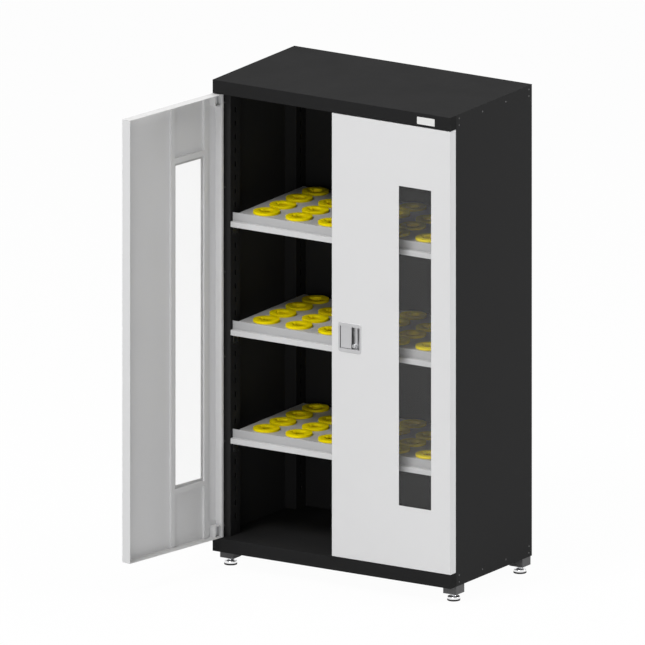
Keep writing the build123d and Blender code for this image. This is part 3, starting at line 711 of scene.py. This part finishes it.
# ---------------------------------------------------------------- sub-assemblies
@dataclass
class Carcass:
    """Folded steel body: its coats, rivets and badge plate."""

    shop: Workshop
    rivet_radius: float = 3.2 * MM
    rivet_height: float = 1.1 * MM
    stile_rivet_x: float = 474.5 * MM
    stile_rivet_first: float = 148.0 * MM
    stile_rivet_pitch: float = 312.4 * MM
    stile_rivets: int = 6
    rear_rivet_x: float = 487.5 * MM
    side_columns: tuple[float, ...] = (-236.0 * MM, -79.0 * MM, 78.0 * MM, 233.0 * MM)
    side_ends: tuple[float, ...] = (74.0 * MM, 99.0 * MM, 1760.0 * MM, 1785.0 * MM)
    side_middles: tuple[float, ...] = (85.0 * MM, 1775.0 * MM)
    badge_size: tuple[float, float] = (74.0 * MM, 27.0 * MM)
    badge_thickness: float = 0.9 * MM
    badge_x: float = 397.0 * MM
    badge_z: float = 1772.0 * MM
    badge_corner: float = 1.5 * MM
    badge_edge: float = 0.3 * MM
    badge_rim: float = 1.2 * MM
    badge_step: float = 0.25 * MM
    badge_sink: float = 0.2 * MM

    def dress(self) -> None:
        """Dress the sheets, legs, pivot pins and locknuts."""
        shop = self.shop
        shop.dress(shop.named("top_cover", "base_pan", "back_panel", "upright"), Finish.CARCASS)
        # the side panels take the lighter copy of the black coat, as painted light
        shop.dress(shop.named("side_panel"), Finish.SIDE_LIT)
        shop.dress(shop.named("leg_"), Finish.LEG)
        shop.dress(shop.named("pivot_pins", "foot_locknuts"), Finish.ZINC)

    def _rivets(self, name: str, places: Sequence[Matrix]) -> None:
        """Blind rivets with a domed flange and a sunken mandrel hole.

        Args:
            name: Name of the piece.
            places: Transform of each rivet, with +Z out of the sheet.
        """
        radius, rise = self.rivet_radius, self.rivet_height
        bm = bmesh.new()
        spun(bm, [(radius, 0.0), (radius * 0.94, rise * 0.45), (radius * 0.7, rise * 0.85),
                  (radius * 0.42, rise), (radius * 0.34, rise * 0.7), (0.0, rise * 0.6)], 16)
        repeated(bm, places)
        self.shop.piece(bm, name, Finish.RIVET, "cabinet", "carcass_paint")

    def add_rivets(self) -> None:
        """Rivets down the front and rear stiles and along the side panels' ends."""
        low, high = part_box("side_panel_right")
        heights = [self.stile_rivet_first + self.stile_rivet_pitch * n
                   for n in range(self.stile_rivets)]
        front, back = Vector((0, -1, 0)), Vector((0, 1, 0))
        places = [facing(Vector((side * self.stile_rivet_x, low.y, z)), front)
                  for side in (-1, 1) for z in heights]
        self._rivets("front_stile_rivets", places)
        places = [facing(Vector((side * self.rear_rivet_x, high.y, z)), back)
                  for side in (-1, 1) for z in heights]
        self._rivets("rear_stile_rivets", places)
        for side, word in ((-1, "left"), (1, "right")):
            spots = [(y, z) for y in (self.side_columns[0], self.side_columns[-1])
                     for z in self.side_ends]
            spots += [(y, z) for y in self.side_columns[1:-1] for z in self.side_middles]
            places = [facing(Vector((side * high.x, y, z)), Vector((side, 0, 0)))
                      for y, z in spots]
            self._rivets(f"side_rivets_{word}", places)

    def add_badge(self) -> None:
        """Bare plate on the header's right end."""
        low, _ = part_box("top_cover")
        bm = bmesh.new()
        bmesh.ops.create_cube(bm, size=1.0)
        bmesh.ops.scale(bm, vec=(self.badge_size[0], self.badge_thickness, self.badge_size[1]),
                        verts=bm.verts)
        upright = [edge for edge in bm.edges
                   if abs(edge.verts[0].co.y - edge.verts[1].co.y) > self.badge_thickness / 2]
        bmesh.ops.bevel(bm, geom=upright, offset=self.badge_corner, segments=4, profile=0.5,
                        affect="EDGES", material=-1)
        face = min(bm.faces, key=lambda item: item.calc_center_median().y)
        bmesh.ops.bevel(bm, geom=list(face.edges), offset=self.badge_edge, segments=2,
                        profile=0.5, affect="EDGES", material=-1)
        face = min(bm.faces, key=lambda item: item.calc_center_median().y)
        bmesh.ops.inset_region(bm, faces=[face], thickness=self.badge_rim, depth=0.0)
        bmesh.ops.inset_region(bm, faces=[face], thickness=self.badge_step,
                               depth=-self.badge_sink)
        bmesh.ops.translate(bm, verts=bm.verts, vec=(
            self.badge_x, low.y - self.badge_thickness / 2, self.badge_z))
        self.shop.piece(bm, "header_bare_badge", Finish.BADGE, "cabinet", "door_paint")

    def build(self) -> None:
        """Dress the carcass and add its fine parts."""
        self.dress()
        self.add_rivets()
        self.add_badge()


@dataclass
class Door:
    """One windowed door leaf: its coat, window, foam tape and bushes."""

    shop: Workshop
    side: str

    def build(self) -> None:
        """Dress the leaf's nodes."""
        for finish, parts in ((Finish.DOOR, ("pan", "stiffeners", "hinge_brackets")),
                              (Finish.PANE, ("glass",)), (Finish.FOAM, ("glass_tape",)),
                              (Finish.NYLON, ("pivot_bushes",))):
            self.shop.dress([f"{self.side}_door_{part}" for part in parts], finish)


@dataclass
class Latch:
    """Paddle latch, key and lock rods on the right leaf."""

    shop: Workshop
    screw_radius: float = 3.2 * MM
    screw_height: float = 1.6 * MM
    screw_inset: float = 7.0 * MM

    def build(self) -> None:
        """Dress the latch and add the lock case's screws."""
        dress = self.shop.dress
        dress(["latch_dish", "latch_paddle", "key_barrel"], Finish.LATCH)
        dress(["lock_pinion", "lock_rod_top", "lock_rod_bottom", "paddle_pin", "lock_case"],
              Finish.ZINC)
        dress(["lock_rod_guides"], Finish.NYLON)
        self.add_screws()

    def add_screws(self) -> None:
        """Pan-head screws in the corners of the lock case."""
        low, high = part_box("lock_case")
        radius, rise = self.screw_radius, self.screw_height
        bm = bmesh.new()
        spun(bm, [(radius, 0.0), (radius, rise * 0.5), (radius * 0.8, rise * 0.9),
                  (radius * 0.5, rise), (0.0, rise)], 20)
        places = [facing(Vector((x, high.y, z)), Vector((0, 1, 0)))
                  for x in (low.x + self.screw_inset, high.x - self.screw_inset)
                  for z in (low.z + self.screw_inset, high.z - self.screw_inset)]
        repeated(bm, places)
        self.shop.piece(bm, "lock_case_screws", Finish.ZINC, "right_door", "zinc_steel")


@dataclass
class TrayLevel:
    """One hung frame with its clips, tray and moulded sockets."""

    shop: Workshop
    level: str
    flange_radius: float = 48.5 * MM
    flange_height: float = 9.0 * MM
    bore_radius: float = 22.5 * MM
    lead_in: float = 1.6 * MM
    edge_round: float = 0.6 * MM
    neck: float = 66.0 * MM
    neck_wall: float = 4.0 * MM
    neck_depth: float = 20.0 * MM
    key_reach: float = 7.0 * MM
    key_half_angle: float = math.radians(21.0)
    turns: int = 64

    def _socket(self, bm: bmesh.types.BMesh) -> None:
        """Model one socket with its seat at height zero.

        Args:
            bm: Empty mesh that receives it.
        """
        top, soft, land = self.flange_height, self.edge_round, 1.0 * MM
        ring = spun(bm, [
            (self.neck / 2 - self.neck_wall, land),
            (self.flange_radius - 2 * MM, 0.02 * MM),
            (self.flange_radius, 0.6 * MM),
            (self.flange_radius, top - soft),
            (self.flange_radius - soft * 0.3, top - soft * 0.3),
            (self.flange_radius - soft, top),
            (self.bore_radius + self.lead_in, top),
            (self.bore_radius + self.lead_in * 0.3, top - self.lead_in * 0.4),
            (self.bore_radius, top - self.lead_in),
            (self.bore_radius, land),
            (self.neck / 2 - self.neck_wall, land),
        ], self.turns)
        mouth = self.bore_radius + self.lead_in + 0.01 * MM
        for vert in ring:
            radius = math.hypot(vert.co.x, vert.co.y)
            turn = abs(math.atan2(vert.co.y, -vert.co.x))
            if radius < mouth and turn < self.key_half_angle:
                vert.co.x -= self.key_reach
        square = bmesh.ops.create_circle(bm, cap_ends=True, segments=4,
                                         radius=self.neck / math.sqrt(2.0))["verts"]
        bmesh.ops.rotate(bm, verts=square, cent=(0, 0, 0),
                         matrix=Matrix.Rotation(math.radians(45.0), 3, "Z"))
        plate = square[0].link_faces[0]
        inset = bmesh.ops.inset_region(bm, faces=[plate], thickness=self.neck_wall,
                                       use_boundary=True)["faces"]
        bmesh.ops.delete(bm, geom=[plate], context="FACES")
        walls = bmesh.ops.extrude_face_region(bm, geom=inset)["geom"]
        bmesh.ops.translate(bm, vec=(0, 0, -self.neck_depth),
                            verts=[item for item in walls if isinstance(item, bmesh.types.BMVert)])

    def add_sockets(self) -> None:
        """Stand a moulded socket in each hole of the tray."""
        node = f"tool_sockets_{self.level}"
        _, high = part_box(node)
        seat = high.z - self.flange_height
        bores = [mount["pos_m"] for mount in self.shop.frame["record"]["mounts"]
                 if mount["name"].startswith(f"socket_{self.level}_")]
        bm = bmesh.new()
        self._socket(bm)
        repeated(bm, [Matrix.Translation((x, y, seat)) for x, y, _ in bores])
        made = self.shop.piece(bm, f"moulded_sockets_{self.level}", Finish.SOCKET, "cabinet",
                               "socket_plastic")
        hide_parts(node)

    def build(self) -> None:
        """Dress the level and add its sockets."""
        self.shop.dress([f"tray_frame_{self.level}"], Finish.FRAME)
        self.shop.dress([f"socket_tray_{self.level}"], Finish.TRAY)
        self.shop.dress([f"frame_clips_{self.level}"], Finish.ZINC)
        self.add_sockets()


@dataclass
class LevellingFoot:
    """One turned foot with a rolled pad and a threaded stem."""

    shop: Workshop
    corner: str
    pad_radius: float = 22.75 * MM
    neck_radius: float = 9.0 * MM
    stem_radius: float = 6.0 * MM
    pad_height: float = 10.0 * MM
    neck_height: float = 3.5 * MM
    thread_depth: float = 0.7 * MM
    thread_pitch: float = 1.75 * MM
    turns: int = 48

    def build(self) -> None:
        """Turn the foot, replace its plain node and dress the sole."""
        node = f"foot_{self.corner}"
        low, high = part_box(node)
        middle = (low + high) / 2
        base, pad = low.z, low.z + self.pad_height
        shoulder = pad + self.neck_height
        rim, neck = self.pad_radius, self.neck_radius
        profile = [
            (0.0, base), (rim - 1.5 * MM, base), (rim - 0.4 * MM, base + 0.5 * MM),
            (rim, base + 1.6 * MM), (rim, pad - 2.2 * MM), (rim - 0.6 * MM, pad - 0.8 * MM),
            (rim - 2.4 * MM, pad), (rim - 5.0 * MM, pad - 0.6 * MM),
            (rim - 8.0 * MM, pad + 0.2 * MM), (neck + 1.2 * MM, pad + 1.6 * MM),
            (neck, pad + 2.6 * MM),
            (neck, shoulder - 0.6 * MM), (neck - 0.6 * MM, shoulder),
            (self.stem_radius, shoulder),
        ]
        height = shoulder
        while height + self.thread_pitch < high.z:
            profile.append((self.stem_radius, height + self.thread_pitch * 0.15))
            profile.append((self.stem_radius - self.thread_depth, height + self.thread_pitch * 0.6))
            profile.append((self.stem_radius, height + self.thread_pitch))
            height += self.thread_pitch
        profile += [(self.stem_radius - self.thread_depth, high.z), (0.0, high.z)]
        bm = bmesh.new()
        spun(bm, profile, self.turns)
        bmesh.ops.translate(bm, verts=bm.verts, vec=(middle.x, middle.y, 0.0))
        made = self.shop.piece(bm, f"turned_foot_{self.corner}", Finish.CHROME,
                               f"foot_{self.corner}", "plated_steel")
        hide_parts(node)
        self.shop.dress([f"foot_sole_{self.corner}"], Finish.SOLE)


# ---------------------------------------------------------------- studio
@dataclass(frozen=True)
class Lamp:
    """Soft square lamp.

    Attributes:
        name: Lamp name.
        place: Where it stands.
        aim: Point that it faces.
        size: Side of the square.
        power: Watts.
    """

    name: str
    place: Point
    aim: Point
    size: float
    power: float

    def add(self) -> None:
        """Put the lamp in the scene."""
        data = bpy.data.lights.new(self.name, "AREA")
        data.shape = "SQUARE"
        data.size = self.size
        data.energy = self.power
        lamp = bpy.data.objects.new(self.name, data)
        lamp.location = self.place
        lamp.rotation_mode = "QUATERNION"
        lamp.rotation_quaternion = (Vector(self.aim) - Vector(self.place)).to_track_quat("-Z", "Y")
        bpy.context.scene.collection.objects.link(lamp)


@dataclass
class Studio:
    """Pale floor, soft lamps, white surround and the camera."""

    azimuth: float = math.radians(32.0)
    elevation: float = math.radians(15.0)
    picture_width: float = 2.3003
    centre_right: float = -0.1884
    centre_up: float = 0.8759
    distance: float = 12.0
    view_depth: float = 60.0
    floor_size: float = 80.0
    floor_share: float = 0.97
    ambient: float = 0.22
    lamps: tuple[Lamp, ...] = (
        Lamp("key_lamp", (-1.5, -6.0, 9.4), (0.0, -0.2, 0.9), 3.0, 590.0),
        Lamp("fill_lamp", (2.0, -7.5, 1.9), (0.0, -0.3, 0.9), 3.0, 108.0),
        Lamp("side_lamp", (4.8, 3.2, 2.4), (0.4, 0.1, 0.9), 2.0, 136.0),
        Lamp("top_lamp", (0.4, 0.2, 5.5), (0.0, 0.0, 1.0), 3.0, 105.0),
    )

    def add_camera(self) -> None:
        """Level orthographic camera on the cabinet's front right."""
        turn, rise = self.azimuth, self.elevation
        right = Vector((math.cos(turn), math.sin(turn), 0.0))
        up = Vector((-math.sin(turn) * math.sin(rise), math.cos(turn) * math.sin(rise),
                     math.cos(rise)))
        back = right.cross(up)
        data = bpy.data.cameras.new("catalogue_camera")
        data.type = "ORTHO"
        data.ortho_scale = self.picture_width
        data.clip_end = self.view_depth
        camera = bpy.data.objects.new("catalogue_camera", data)
        turned = Matrix((right, up, back)).transposed().to_4x4()
        spot = right * self.centre_right + up * self.centre_up + back * self.distance
        camera.matrix_world = Matrix.Translation(spot) @ turned
        bpy.context.scene.collection.objects.link(camera)
        bpy.context.scene.camera = camera

    def _shown_white(self, tree: bpy.types.NodeTree, lit: bpy.types.NodeSocket,
                     target: bpy.types.NodeSocket, share: float, white: str) -> None:
        """Show a surface or the world nearly white to the camera and to reflections.

        Args:
            tree: Node tree to wire.
            lit: Shader that lights and shades.
            target: Socket that takes the result.
            share: Share of plain white where the camera looks.
            white: Node type that gives the plain white.
        """
        path = tree.nodes.new("ShaderNodeLightPath")
        seen = path.outputs["Is Camera Ray"]
        for name in ("Is Glossy Ray", "Is Transmission Ray"):
            either = tree.nodes.new("ShaderNodeMath")
            either.operation = "MAXIMUM"
            tree.links.new(seen, either.inputs[0])
            tree.links.new(path.outputs[name], either.inputs[1])
            seen = either.outputs[0]
        part = tree.nodes.new("ShaderNodeMath")
        part.operation = "MULTIPLY"
        part.inputs[1].default_value = share
        tree.links.new(seen, part.inputs[0])
        plain = tree.nodes.new(white)
        plain.inputs["Color"].default_value = (1.0, 1.0, 1.0, 1.0)
        plain.inputs["Strength"].default_value = 1.0
        mix = tree.nodes.new("ShaderNodeMixShader")
        tree.links.new(part.outputs[0], mix.inputs[0])
        tree.links.new(lit, mix.inputs[1])
        tree.links.new(plain.outputs[0], mix.inputs[2])
        tree.links.new(mix.outputs[0], target)

    def add_floor(self) -> None:
        """Large pale floor that keeps a faint shadow."""
        material = bpy.data.materials.new("studio_floor")
        material.use_nodes = True
        tree = material.node_tree
        shader = tree.nodes["Principled BSDF"]
        shader.inputs["Base Color"].default_value = (0.86, 0.86, 0.86, 1.0)
        shader.inputs["Roughness"].default_value = 0.9
        shader.inputs["Specular IOR Level"].default_value = 0.1
        self._shown_white(tree, shader.outputs[0], tree.nodes["Material Output"].inputs["Surface"],
                          self.floor_share, "ShaderNodeEmission")
        bm = bmesh.new()
        bmesh.ops.create_grid(bm, x_segments=1, y_segments=1, size=self.floor_size / 2)
        mesh = bpy.data.meshes.new("studio_floor")
        bm.to_mesh(mesh)
        bm.free()
        mesh.materials.append(material)
        floor = bpy.data.objects.new("studio_floor", mesh)
        bpy.context.scene.collection.objects.link(floor)

    def add_world(self) -> None:
        """Soft even light from all round, white behind the cabinet."""
        world = bpy.data.worlds.new("studio_world")
        bpy.context.scene.world = world
        world.use_nodes = True
        tree = world.node_tree
        ambient = tree.nodes["Background"]
        ambient.inputs["Color"].default_value = (1.0, 1.0, 1.0, 1.0)
        ambient.inputs["Strength"].default_value = self.ambient
        self._shown_white(tree, ambient.outputs[0], tree.nodes["World Output"].inputs["Surface"],
                          1.0, "ShaderNodeBackground")

    def build(self) -> None:
        """Set up the whole studio."""
        bpy.context.scene.view_settings.view_transform = "Standard"
        self.add_floor()
        self.add_world()
        for lamp in self.lamps:
            lamp.add()
        self.add_camera()


def main() -> None:
    """Load the model, dress it and set the studio up."""
    logging.basicConfig(level=logging.INFO, format="%(message)s")
    for spare in list(bpy.data.objects):
        bpy.data.objects.remove(spare)
    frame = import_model()
    shop = Workshop(frame, Paints())
    Carcass(shop).build()
    for side in ("left", "right"):
        Door(shop, side).build()
    Latch(shop).build()
    for level in ("bottom", "middle", "top"):
        TrayLevel(shop, level).build()
    for corner in ("front_left", "front_right", "rear_left", "rear_right"):
        LevellingFoot(shop, corner).build()
    Studio().build()


if __name__ == "__main__":
    main()
